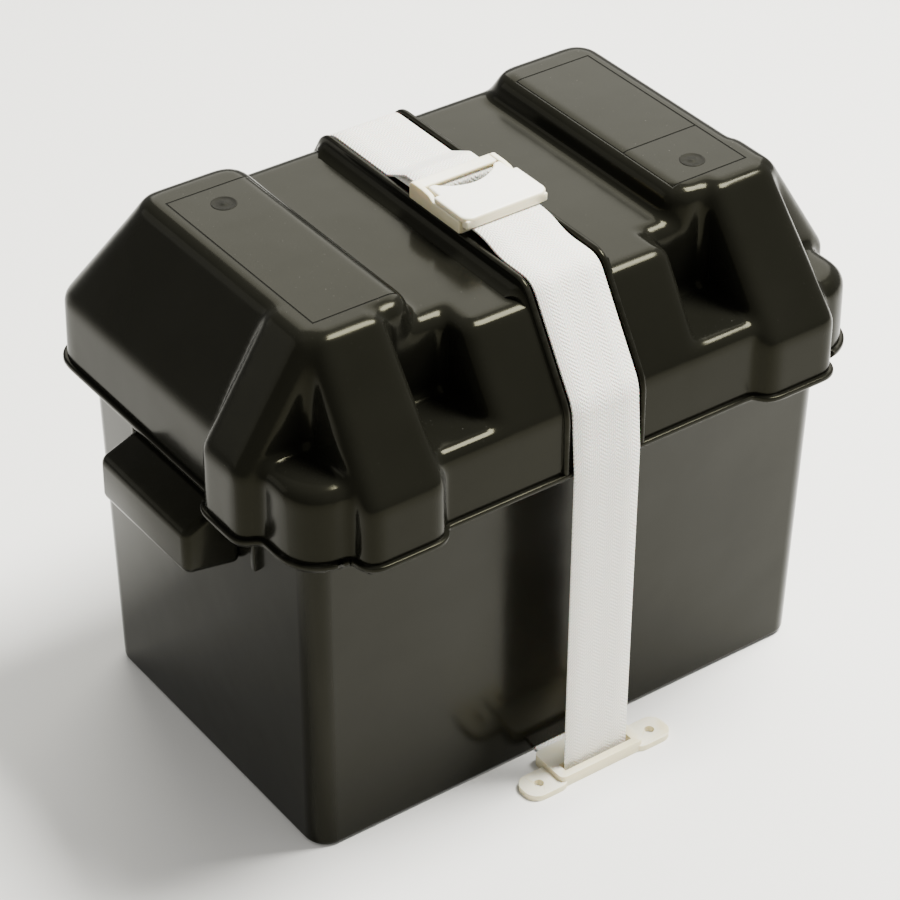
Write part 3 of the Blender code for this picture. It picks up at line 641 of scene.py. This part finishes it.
def dome_marks():
    """Fine moulded frame line on each dome top, and a divider on the right one."""
    group, given, result = node_group("dome_marks", [("Place", "NodeSocketVector", None)],
                                      [("Height", "NodeSocketFloat")])
    line, frame_middle, frame_half, frame_reach, divider = 0.00045, 0.10085, 0.02215, 0.061, 0.0235
    parts = add(group, "ShaderNodeSeparateXYZ", {0: given.outputs["Place"]})
    x, y, z = (parts.outputs[axis] for axis in "XYZ")
    far_x = sums(group, "SUBTRACT", sums(group, "ABSOLUTE", x), frame_middle)
    off_x = sums(group, "SUBTRACT", sums(group, "ABSOLUTE", far_x), frame_half)
    off_y = sums(group, "SUBTRACT", sums(group, "ABSOLUTE", y), frame_reach)
    outside = sums(group, "MAXIMUM", off_x, off_y)
    from_frame = sums(group, "ABSOLUTE", outside)
    from_bar = sums(group, "ABSOLUTE", sums(group, "ADD", y, divider))
    elsewhere = sums(group, "MAXIMUM", sums(group, "GREATER_THAN", outside, 0.0),
                     sums(group, "LESS_THAN", x, 0.0))
    from_bar = sums(group, "ADD", from_bar, elsewhere)
    nearest = sums(group, "MINIMUM", from_frame, from_bar)
    depth = sums(group, "SUBTRACT", 1.0,
                 sums(group, "MINIMUM", sums(group, "DIVIDE", nearest, line), 1.0))
    on_top = sums(group, "GREATER_THAN", z, dome_top - 0.002)
    group.links.new(sums(group, "MULTIPLY", sums(group, "MULTIPLY", depth, on_top), -1.0),
                    result.inputs["Height"])
    return group


def lid_plastic():
    """The black plastic with the lid's moulded marks cut into it, and painted shade darkening
    their grooves.
    """
    made = black_plastic("lid_black")
    tree = made.node_tree
    shader = tree.nodes["Principled BSDF"]
    place = add(tree, "ShaderNodeTexCoord").outputs["Object"]
    marks = add(tree, "ShaderNodeGroup", {}, node_tree=dome_marks())
    tree.links.new(place, marks.inputs["Place"])
    smooth = shader.inputs["Normal"].links[0].from_socket
    bump = add(tree, "ShaderNodeBump", {"Height": marks.outputs["Height"], "Normal": smooth,
                                        "Strength": 1.0, "Distance": 0.0005})
    tree.links.new(bump.outputs["Normal"], shader.inputs["Normal"])
    plain = shader.inputs["Base Color"].links[0].from_socket
    # Painted shade: the base colour goes darker inside the grooves of the marks.
    groove_shade = sums(tree, "MULTIPLY", marks.outputs["Height"], -0.8)
    tree.links.new(mixed(tree, groove_shade, plain, (0.002, 0.002, 0.0015)),
                   shader.inputs["Base Color"])
    return made


lid_black = lid_plastic()
dress(lid, lid_black, "lid", "black_plastic", "lid")


# Gate marks: the round witness of the mould's inserts on the dome tops, with a dull scored face.
gate_places = (("left", -0.101, 0.046), ("right", 0.101, -0.048))
gate_stages = ((0.0062, -0.0006), (0.0062, 0.00010), (0.0060, 0.00022), (0.0056, 0.00022),
               (0.0053, 0.00004), (0.0016, 0.00004), (0.0014, 0.00018), (0.0003, 0.00020))
gate_sides = 48
score_dark, score_light = (0.002, 0.002, 0.002), (0.012, 0.012, 0.011)


def gate_mark(name, x, y):
    """Low ring with a sunk face round a small nib."""
    turn = 360 / gate_sides
    rings = []
    for radius, rise in gate_stages:
        rings.append([(x + radius * math.cos(math.radians(turn * i)),
                       y + radius * math.sin(math.radians(turn * i)), dome_top + rise)
                      for i in range(gate_sides)])
    return lofted(name, rings)


dull_black = black_plastic("dull_black")
dull_tree = dull_black.node_tree
dull_shader = dull_tree.nodes["Principled BSDF"]
dull_place = add(dull_tree, "ShaderNodeTexCoord").outputs["Object"]
scores = noise(dull_tree, dull_place, 700.0, 4.0, Distortion=2.5)
dull_tree.links.new(ramp(dull_tree, scores, 0.45, 0.7, 0.45, 0.8),
                    dull_shader.inputs["Roughness"])
dull_tree.links.new(mixed(dull_tree, scores, score_dark, score_light),
                    dull_shader.inputs["Base Color"])
for label, x, y in gate_places:
    dress(gate_mark("gate_mark_" + label, x, y), dull_black, "lid", "black_plastic")


# Rim: a thin flange that stiffens the foot of the skirt and follows every pillar and lobe.
rim_proud, rim_thick, rim_root = 0.0022, 0.0028, -0.0014
rim_section = ((rim_root, 0.0), (0.6, 0.0), (0.9, 0.08), (1.0, 0.3), (1.0, 0.7), (0.93, 0.93),
               (0.8, 1.0), (0.3, 1.02), (0.0, 1.06), (rim_root, 1.1))
rim_spread = 3               # points each way that give the direction of the skirt


def rim_rings(foot):
    """The rim's section set out square to the skirt all round."""
    count = len(foot)
    turn = sum(a.x * b.y - b.x * a.y for a, b in zip(foot, foot[1:] + foot[:1]))
    out = 1 if turn > 0 else -1
    rings = []
    for i, point in enumerate(foot):
        run = foot[(i + rim_spread) % count] - foot[(i - rim_spread) % count]
        normal = Vector((run.y, -run.x, 0)).normalized() * out
        ring = []
        for across, rise in rim_section:
            reach = across * rim_proud if across > 0 else across
            place = point + normal * reach
            ring.append((place.x, place.y, rim_height + rise * rim_thick))
        rings.append(ring)
    return rings


rim = lofted("lid_rim", rim_rings(skirt_foot), closed=True)
dress(rim, lid_black, "lid", "black_plastic")


# Strap seat: a raised band moulded across the lid, with a lip each side that keeps the webbing
# in place. It flares into the roof, and runs on as two low lips down the slopes and skirts.
seat_height, seat_round = 0.2685, 0.006
seat_half, lip_thick = 0.0205, 0.0030
slope_lip, roof_lip = 0.0021, 0.0007                # lip height, and what it gains on the roof
slope_foot, roof_foot = 0.0010, 0.0062
slope_flare, roof_flare = 0.0018, 0.0052
lip_edge, flare_steps, flare_curve, foot_sink = 0.0009, 8, 2.2, 0.0022
rise_steps = 9


def rounded_path(points, radius, steps=8):
    """Open path of (y, z) points with its corners turned into arcs."""
    path = [Vector(points[0])]
    for before, corner, after in zip(points, points[1:], points[2:]):
        corner = Vector(corner)
        back = Vector(before) - corner
        ahead = Vector(after) - corner
        reach = min(radius, back.length * 0.45, ahead.length * 0.45)
        start = corner + back.normalized() * reach
        end = corner + ahead.normalized() * reach
        for step in range(steps + 1):
            t = step / steps
            path.append(start * (1 - t) ** 2 + corner * 2 * t * (1 - t) + end * t ** 2)
    path.append(Vector(points[-1]))
    return path


def normals_along(path):
    """Unit vectors to the left of a path at each of its points."""
    found = []
    for i in range(len(path)):
        run = path[min(i + 1, len(path) - 1)] - path[max(i - 1, 0)]
        found.append(Vector((-run.y, run.x)).normalized())
    return found


seat_low = rim_height + rim_thick
seat_flare_y = skirt_flare * (crease - rim_height)
back_slope = (roof_back - skirt_back) / (roof - crease)
front_slope = (roof_front - skirt_front) / (roof - crease)
seat_front = skirt_front + front_slope * (seat_height - crease)
seat_back = skirt_back + back_slope * (seat_height - crease)
seat_path = rounded_path([(-skirt_front - seat_flare_y, seat_low), (-skirt_front, crease),
                          (-seat_front, seat_height), (seat_back, seat_height),
                          (skirt_back, crease), (skirt_back + seat_flare_y, seat_low)], seat_round)


def seat_section(raised):
    """Right half of the band's outline as (x, height), from the floor out to the foot."""
    lip = slope_lip + roof_lip * raised
    foot_depth = slope_foot + roof_foot * raised
    flare = slope_flare + roof_flare * raised
    outer = seat_half + lip_thick
    points = [(seat_half - 0.0006, -0.0002), (seat_half - 0.0001, 0.0002),
              (seat_half, 0.0008), (seat_half + 0.0001, lip - 0.0006),
              (seat_half + 0.0007, lip - 0.0001), (seat_half + lip_thick / 2, lip),
              (outer - 0.0006, lip - 0.0002), (outer - 0.0001, lip - lip_edge)]
    for step in range(1, flare_steps + 1):
        t = step / flare_steps
        points.append((outer + flare * t ** flare_curve,
                       lip - lip_edge - (lip - lip_edge + foot_depth) * t))
    points.append((outer + flare + 0.0004, -foot_depth - foot_sink))
    return points


def seat_rings():
    """Sections along the seat, rising out of the slopes and up to the roof."""
    rings = []
    for i, (point, normal) in enumerate(zip(seat_path, normals_along(seat_path))):
        first = min(max((i - 1 - rise_steps) / (rise_steps - 1), 0), 1)
        last = min(max((len(seat_path) - 2 - rise_steps - i) / (rise_steps - 1), 0), 1)
        raised = min(first, last)
        half = seat_section(raised)
        outline = [(-x, h) for x, h in reversed(half)] + half
        rings.append([(x, point.x + normal.x * h, point.y + normal.y * h) for x, h in outline])
    return rings


seat = lofted("lid_strap_seat", seat_rings())
seat.data.set_sharp_from_angle(angle=math.radians(60))
dress(seat, lid_black, "lid", "black_plastic")


# Webbing: one length of 38 mm woven polypropylene. It runs under the tub, through both brackets,
# over the lid and into the buckle, and its other end is sewn round the buckle's crossbar.
webbing_width, webbing_thick, clear = 0.038, 0.0015, 0.0003
bracket_station = 0.1175
buckle_front, buckle_back = -0.038, 0.007
buckle_seat = seat_height + 0.0028 + clear
base_thick, bar_thick, bar_depth = 0.0017, 0.0019, 0.0042
bridge_depth = 0.0088
run_height = buckle_seat + base_thick + clear + webbing_thick / 2
bar_height = buckle_seat + webbing_thick + 2 * clear + bar_thick / 2
lift_front, lift_back = 0.058, 0.032
cam_end, lever_lead, bar_lead, tail_lead, tail_end = -0.013, 0.006, 0.010, 0.003, 0.026
slot_rise, buckle_bend, drop_bend, bar_bend = 0.010, 0.008, 0.004, 0.0013
webbing_color, run_step = (0.88, 0.855, 0.78), 0.004


def webbing_route():
    """Middle of the webbing as (y, z) points, from the cam round to the sewn end."""
    off = clear + webbing_thick / 2
    seat_line = [p + n * off for p, n in zip(seat_path, normals_along(seat_path))]
    middle = len(seat_line) // 2
    front_seat = seat_line[1:middle]
    back_seat = seat_line[middle:-1]
    front_rim = skirt_front + rim_proud + seat_flare_y + off
    back_rim = skirt_back + rim_proud + seat_flare_y + off
    low = clear + webbing_thick / 2
    turn = bar_thick / 2 + off
    bar_front = buckle_back - bridge_depth / 2 - bar_depth / 2 - off
    into_buckle = rounded_path([(cam_end, run_height), (buckle_front - lever_lead, run_height),
                                (-lift_front, front_seat[-1].y), tuple(front_seat[-1])],
                               buckle_bend)
    route = into_buckle[:-1] + front_seat[::-1]
    drop = rounded_path([(-front_rim, seat_low), (-front_rim, rim_height),
                         (-bracket_station, slot_rise), (-bracket_station, low),
                         (bracket_station, low), (bracket_station, slot_rise),
                         (back_rim, rim_height), (back_rim, seat_low)], drop_bend)
    route += drop
    route += back_seat[::-1]
    bar = rounded_path([tuple(back_seat[0]), (lift_back, back_seat[0].y),
                        (buckle_back + bar_lead, bar_height + turn),
                        (bar_front, bar_height + turn), (bar_front, bar_height - turn),
                        (buckle_back + tail_lead, bar_height - turn),
                        (tail_end, bar_height - turn - 0.0004)], bar_bend)
    return route + bar[1:]


def spaced(path, step):
    """Path with its long straights divided, so that it bends and shades evenly."""
    points = [path[0]]
    for before, after in zip(path, path[1:]):
        parts = max(1, math.ceil((after - before).length / step))
        points += [before.lerp(after, k / parts) for k in range(1, parts + 1)]
    return points


def webbing_mesh(route):
    """Flat strip with thick round selvedges, and its length and width kept as a map."""
    half, thin = webbing_width / 2, webbing_thick / 2
    section = [(-half + 0.0004, -thin), (-half * 0.5, -thin), (0, -thin), (half * 0.5, -thin),
               (half - 0.0004, -thin), (half, -thin * 0.45), (half, thin * 0.45),
               (half - 0.0004, thin), (half * 0.5, thin), (0, thin), (-half * 0.5, thin),
               (-half + 0.0004, thin), (-half, thin * 0.45), (-half, -thin * 0.45)]
    shape = bmesh.new()
    layer = shape.loops.layers.uv.new("along")
    rows = []
    run = 0.0
    for i, (point, normal) in enumerate(zip(route, normals_along(route))):
        if i:
            run += (point - route[i - 1]).length
        row = [shape.verts.new((x, point.x + normal.x * h, point.y + normal.y * h))
               for x, h in section]
        rows.append((run, row))
    count = len(section)
    for (start, lower), (end, upper) in zip(rows, rows[1:]):
        for i in range(count):
            j = (i + 1) % count
            face = shape.faces.new((lower[i], lower[j], upper[j], upper[i]))
            for loop, across, along in zip(face.loops, (i, j, j, i), (start, start, end, end)):
                loop[layer].uv = (section[across][0], along)
    shape.faces.new([vert for vert in reversed(rows[0][1])])
    shape.faces.new([vert for vert in rows[-1][1]])
    return from_bmesh("webbing", shape)


def woven(name, color):
    """White woven webbing: ribs of weft across, in a chevron, and warp yarns along, with painted
    shade in the sunk parts of the weave.
    """
    made = bpy.data.materials.new(name)
    made.use_nodes = True
    tree = made.node_tree
    shader = tree.nodes["Principled BSDF"]
    flat = add(tree, "ShaderNodeUVMap", uv_map="along").outputs["UV"]
    parts = add(tree, "ShaderNodeSeparateXYZ", {0: flat})
    across, along = parts.outputs["X"], parts.outputs["Y"]
    rib_pitch, yarn_pitch, chevron = 0.0021, 0.00119, webbing_width / 8
    panel = sums(tree, "PINGPONG", sums(tree, "ADD", across, webbing_width / 2), chevron)
    slant = sums(tree, "ADD", along, sums(tree, "MULTIPLY", panel, 0.9))
    rib = sums(tree, "SINE", sums(tree, "MULTIPLY", slant, 2 * math.pi / rib_pitch))
    yarn = sums(tree, "SINE", sums(tree, "MULTIPLY", across, 2 * math.pi / yarn_pitch))
    weave = sums(tree, "MULTIPLY", sums(tree, "ADD", sums(tree, "MULTIPLY", rib, 0.5), 0.5),
                 sums(tree, "ADD", sums(tree, "MULTIPLY", yarn, 0.35), 0.65))
    place = add(tree, "ShaderNodeTexCoord").outputs["Object"]
    fuzz = noise(tree, place, 2600.0, 2.0)
    height = sums(tree, "ADD", weave, sums(tree, "MULTIPLY", fuzz, 0.35))
    bump = add(tree, "ShaderNodeBump", {"Height": height, "Strength": 1.0,
                                        "Distance": 0.00028})
    tree.links.new(bump.outputs["Normal"], shader.inputs["Normal"])
    shade = mixed(tree, noise(tree, place, 30.0, 4.0), tuple(c * 0.95 for c in color), color)
    # Painted shade: the sunk parts of the weave are darkened in the base colour.
    sunk = mixed(tree, ramp(tree, weave, 0.0, 0.35, 0.75, 0.0), shade,
                 tuple(c * 0.72 for c in color))
    tree.links.new(sunk, shader.inputs["Base Color"])
    tree.links.new(ramp(tree, weave, 0.0, 1.0, 0.85, 0.62), shader.inputs["Roughness"])
    shader.inputs["Sheen Weight"].default_value = 0.25
    shader.inputs["Subsurface Weight"].default_value = 0.15
    shader.inputs["Subsurface Scale"].default_value = 0.002
    return made


webbing = webbing_mesh(spaced(webbing_route(), run_step))
webbing.data.materials.append(woven("webbing_white", webbing_color))
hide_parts("strap_sling", "strap_front_run", "strap_rear_run")
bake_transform(webbing)


# Buckle: two nylon mouldings. The frame is a base plate with cheeks, a rear bridge and a
# crossbar; the cam lever turns on its own trunnions and closes flat over the cheeks.
buckle_half, cheek_thick, cheek_height = 0.0240, 0.0030, 0.0078
bridge_thick, pivot_y, pivot_rise = 0.0030, -0.0055, 0.0058
arm_thick, arm_radius, pivot_radius = 0.0024, 0.0024, 0.0012
lever_thick, lever_back, base_back = 0.0032, -0.0125, -0.0130
lever_under = buckle_seat + cheek_height - 0.001
pivot_z = buckle_seat + pivot_rise
lip_room, ear_round, boss_rise = 0.0052, 0.0028, 0.0028
bridge_setback, bridge_inset, bridge_drop = 0.0009, 0.0003, 0.0006
lever_corner, horn_back, horn_in, hollow_back = 0.0050, -0.0033, 0.0170, -0.0118
lip_deep, lip_side, lip_over = 0.0042, 0.0008, 0.0005
plate_round, lip_round, cheek_round, fine_round = 0.0011, 0.0010, 0.0007, 0.0003
# The second colour of each nylon is painted shade on upright faces and a painted glow on thin
# edges.
nylon_white, nylon_white_shade_glow = (0.90, 0.89, 0.85), (0.82, 0.76, 0.56)
nylon_cream, nylon_cream_shade_glow = (0.86, 0.83, 0.70), (0.76, 0.69, 0.46)


def nylon(name, face, edge, roughness, see_through):
    """Milky nylon, whiter on its broad faces. Its creamier colour is painted shade on upright
    faces and a painted glow of light soaking through thin edges.
    """
    made = bpy.data.materials.new(name)
    made.use_nodes = True
    tree = made.node_tree
    shader = tree.nodes["Principled BSDF"]
    place = add(tree, "ShaderNodeTexCoord").outputs["Object"]
    flow = noise(tree, place, 120.0, 4.0, Distortion=0.6)
    bend = add(tree, "ShaderNodeNewGeometry").outputs["Pointiness"]
    thin = ramp(tree, bend, 0.50, 0.62)
    level = add(tree, "ShaderNodeSeparateXYZ", {
        0: add(tree, "ShaderNodeTexCoord").outputs["Normal"]}).outputs["Z"]
    upright = sums(tree, "SUBTRACT", 1.0, sums(tree, "ABSOLUTE", level))
    # Painted shade on upright faces and painted glow on thin edges, with a little random flow.
    shade_glow_share = sums(tree, "ADD", thin, sums(tree, "MULTIPLY", flow, 0.25))
    shade_glow_share = sums(tree, "MINIMUM", sums(tree, "ADD", shade_glow_share, upright), 1.0)
    tree.links.new(mixed(tree, shade_glow_share, face, edge), shader.inputs["Base Color"])
    rough = ramp(tree, flow, 0.0, 1.0, roughness - 0.06, roughness + 0.08)
    tree.links.new(rough, shader.inputs["Roughness"])
    grain = noise(tree, place, 1500.0, 3.0)
    bump = add(tree, "ShaderNodeBump", {"Height": grain, "Strength": 0.35, "Distance": 0.00008})
    tree.links.new(bump.outputs["Normal"], shader.inputs["Normal"])
    shader.inputs["Subsurface Weight"].default_value = see_through
    shader.inputs["Subsurface Radius"].default_value = (1.0, 0.8, 0.45)
    shader.inputs["Subsurface Scale"].default_value = 0.004
    return made


white_nylon = nylon("white_nylon", nylon_white, nylon_white_shade_glow, 0.34, 0.25)
cream_nylon = nylon("cream_nylon", nylon_cream, nylon_cream_shade_glow, 0.38, 0.3)

def slab(name, outline, low_x, high_x):
    """Solid with a (y, z) outline, running along X."""
    return lofted(name, [[(x, y, z) for y, z in outline] for x in (low_x, high_x)])


def disc(radius, middle_y, middle_z, sides=32):
    turn = 2 * math.pi / sides
    return [(middle_y + radius * math.cos(turn * i), middle_z + radius * math.sin(turn * i))
            for i in range(sides)]


def buckle_frame():
    """Base plate, two cheeks, the rear bridge and the crossbar in one."""
    inside = buckle_half - cheek_thick / 2
    low = buckle_seat
    parts = []
    front_top = lever_under - clear
    front = buckle_front + lip_room
    tall = low + cheek_height + bridge_thick / 2
    heel = [(buckle_back - ear_round + ear_round * math.cos(math.radians(15 * step)),
             tall - ear_round + ear_round * math.sin(math.radians(15 * step)))
            for step in range(7)]
    outline = [(front, low), (buckle_back, low)] + heel + [
        (pivot_y + 0.002, tall), (pivot_y - 0.003, pivot_z + boss_rise),
        (lever_back + clear, front_top), (front, front_top)]
    for side in (1, -1):
        x = sorted((side * buckle_half, side * (buckle_half - cheek_thick)))
        parts.append(soften(slab("cheek", outline, *x), cheek_round, 3))
    bridge_low = low + cheek_height - bridge_thick / 2
    bridge_front = buckle_back - bridge_depth + bridge_setback
    bridge_back, bridge_top = buckle_back - bridge_inset, tall - bridge_drop
    bridge = [(bridge_front, bridge_low), (bridge_back, bridge_low), (bridge_back, bridge_top),
              (bridge_front, bridge_top)]
    parts.append(soften(slab("bridge", bridge, -inside, inside), lip_round, 4))
    middle = buckle_back - bridge_depth / 2
    parts.append(box("bar", (-inside, middle - bar_depth / 2, bar_height - bar_thick / 2),
                     (inside, middle + bar_depth / 2, bar_height + bar_thick / 2)))
    base = box("buckle_base", (-inside, front, low), (inside, base_back, low + base_thick))
    combine(base, parts, "UNION")
    return soften(base, fine_round, 2, 50)


dress(buckle_frame(), cream_nylon, "lid", "natural_nylon", "buckle_frame")


def lever_outline():
    """From above: round front corners, and a hollow back edge between two horns."""
    arm_out = buckle_half - cheek_thick - clear
    half = []
    for step in range(9):
        angle = math.radians(90 * step / 8)
        half.append((buckle_half - lever_corner + lever_corner * math.sin(angle),
                     buckle_front + lever_corner - lever_corner * math.cos(angle)))
    half += [(buckle_half, lever_back), (arm_out, lever_back), (arm_out, horn_back),
             (horn_in, horn_back)]
    for step in range(1, 9):
        x = horn_in * (1 - step / 8)
        half.append((x, hollow_back + (horn_back - 0.001 - hollow_back) * (x / horn_in) ** 2))
    return half + [(-x, y) for x, y in reversed(half) if x > 1e-6]


def buckle_lever():
    """Thumb plate with its front lip, two arms with trunnions, and the cam."""
    top = lever_under + lever_thick
    thumb = lofted("buckle_cam_lever", [[(x, y, z) for x, y in lever_outline()]
                                        for z in (lever_under, top)])
    soften(thumb, plate_round, 4, 40)
    arm_out = buckle_half - cheek_thick - clear
    lip_low = run_height + webbing_thick / 2 + lip_over
    lip_front = buckle_front + 0.0001
    lip = [(lip_front, lip_low), (buckle_front + lip_deep, lip_low),
           (buckle_front + lip_deep + 0.0004, lever_under + 0.001), (lip_front, top - 0.0012)]
    parts = [soften(slab("lip", lip, lip_side - buckle_half, buckle_half - lip_side),
                    lip_round, 4)]
    for side in (1, -1):
        x = sorted((side * arm_out, side * (arm_out - arm_thick)))
        eye = disc(arm_radius, pivot_y, pivot_z)
        outline = eye + [(lever_back - 0.002, top - 0.0005), (lever_back - 0.002, lever_under)]
        parts.append(hull("arm", [(at, y, z) for at in x for y, z in outline]))
        pin = sorted((side * (arm_out - 0.001), side * (buckle_half - 0.0013)))
        parts.append(slab("pin", disc(pivot_radius, pivot_y, pivot_z), *pin))
    cam_low = run_height + webbing_thick / 2 + clear
    cam_half = arm_out - arm_thick / 2
    parts.append(slab("cam", [(lever_back - 0.0035, cam_low), (lever_back - 0.0015, cam_low),
                              (lever_back - 0.0002, lever_under + 0.001),
                              (lever_back - 0.006, lever_under + 0.001)], -cam_half, cam_half))
    combine(thumb, parts, "UNION")
    return soften(thumb, fine_round, 2, 50)


dress(buckle_lever(), white_nylon, "lever", "white_nylon", "buckle_lever")


# Hold-down brackets: natural nylon feet that screw to the floor. The webbing drops through the
# slot behind the outer bar and passes out under the inner edge.
bracket_half, bracket_outer, bracket_inner = 0.044, 0.126, 0.101
bracket_thick, bracket_foot, bracket_bar = 0.0065, 0.0034, 0.0040
lug_depth, screw_bore, screw_spread = 0.0170, 0.0050, 0.0345
side_bar, bar_set, slot_gap, foot_corner, lug_root = 0.005, 0.0015, 0.0008, 0.003, 0.006
bracket_edge = 0.0007


def bracket(name, side):
    """Flat foot with two screw lugs, a slot for the webbing and its way out underneath."""
    slot_half = strap_half + trough_gap
    body_half = slot_half + side_bar

    def plate(label, outline, low, high):
        return lofted(label, [[(x, y, z) for x, y in outline] for z in (low, high)])

    def span(near, far):
        return sorted((side * near, side * far))

    whole = plate(name, rounded_outline(-body_half, body_half,
                                        *span(bracket_inner, bracket_outer - bar_set),
                                        foot_corner, 6), 0, bracket_thick)
    lug_y = span(bracket_outer - lug_depth, bracket_outer)
    lugs = []
    for end in (1, -1):
        x = sorted((end * bracket_half, end * (body_half - lug_root)))
        lugs.append(plate("lug", rounded_outline(*x, *lug_y, lug_depth * 0.42, 8), 0,
                          bracket_foot))
    combine(whole, lugs, "UNION")
    slot_y = span(bracket_station - webbing_thick - slot_gap,
                  bracket_outer - bar_set - bracket_bar)
    under_y = span(bracket_inner - 0.01, bracket_station)
    cuts = [box("slot", (-slot_half, slot_y[0], -0.01), (slot_half, slot_y[1], 0.02)),
            box("under", (-slot_half, under_y[0], -0.01),
                (slot_half, under_y[1], webbing_thick + 3 * clear))]
    for end in (1, -1):
        ring = [(end * screw_spread + y, side * (bracket_outer - lug_depth / 2) + z)
                for y, z in disc(screw_bore / 2, 0, 0)]
        cuts.append(plate("bore", ring, -0.01, 0.02))
    combine(whole, cuts, "DIFFERENCE")
    return soften(whole, bracket_edge, 3)


for label, side in (("bracket_front", -1), ("bracket_back", 1)):
    foot = bracket(label + "_foot", side)
    dress(foot, cream_nylon, "tub", "natural_nylon", label)
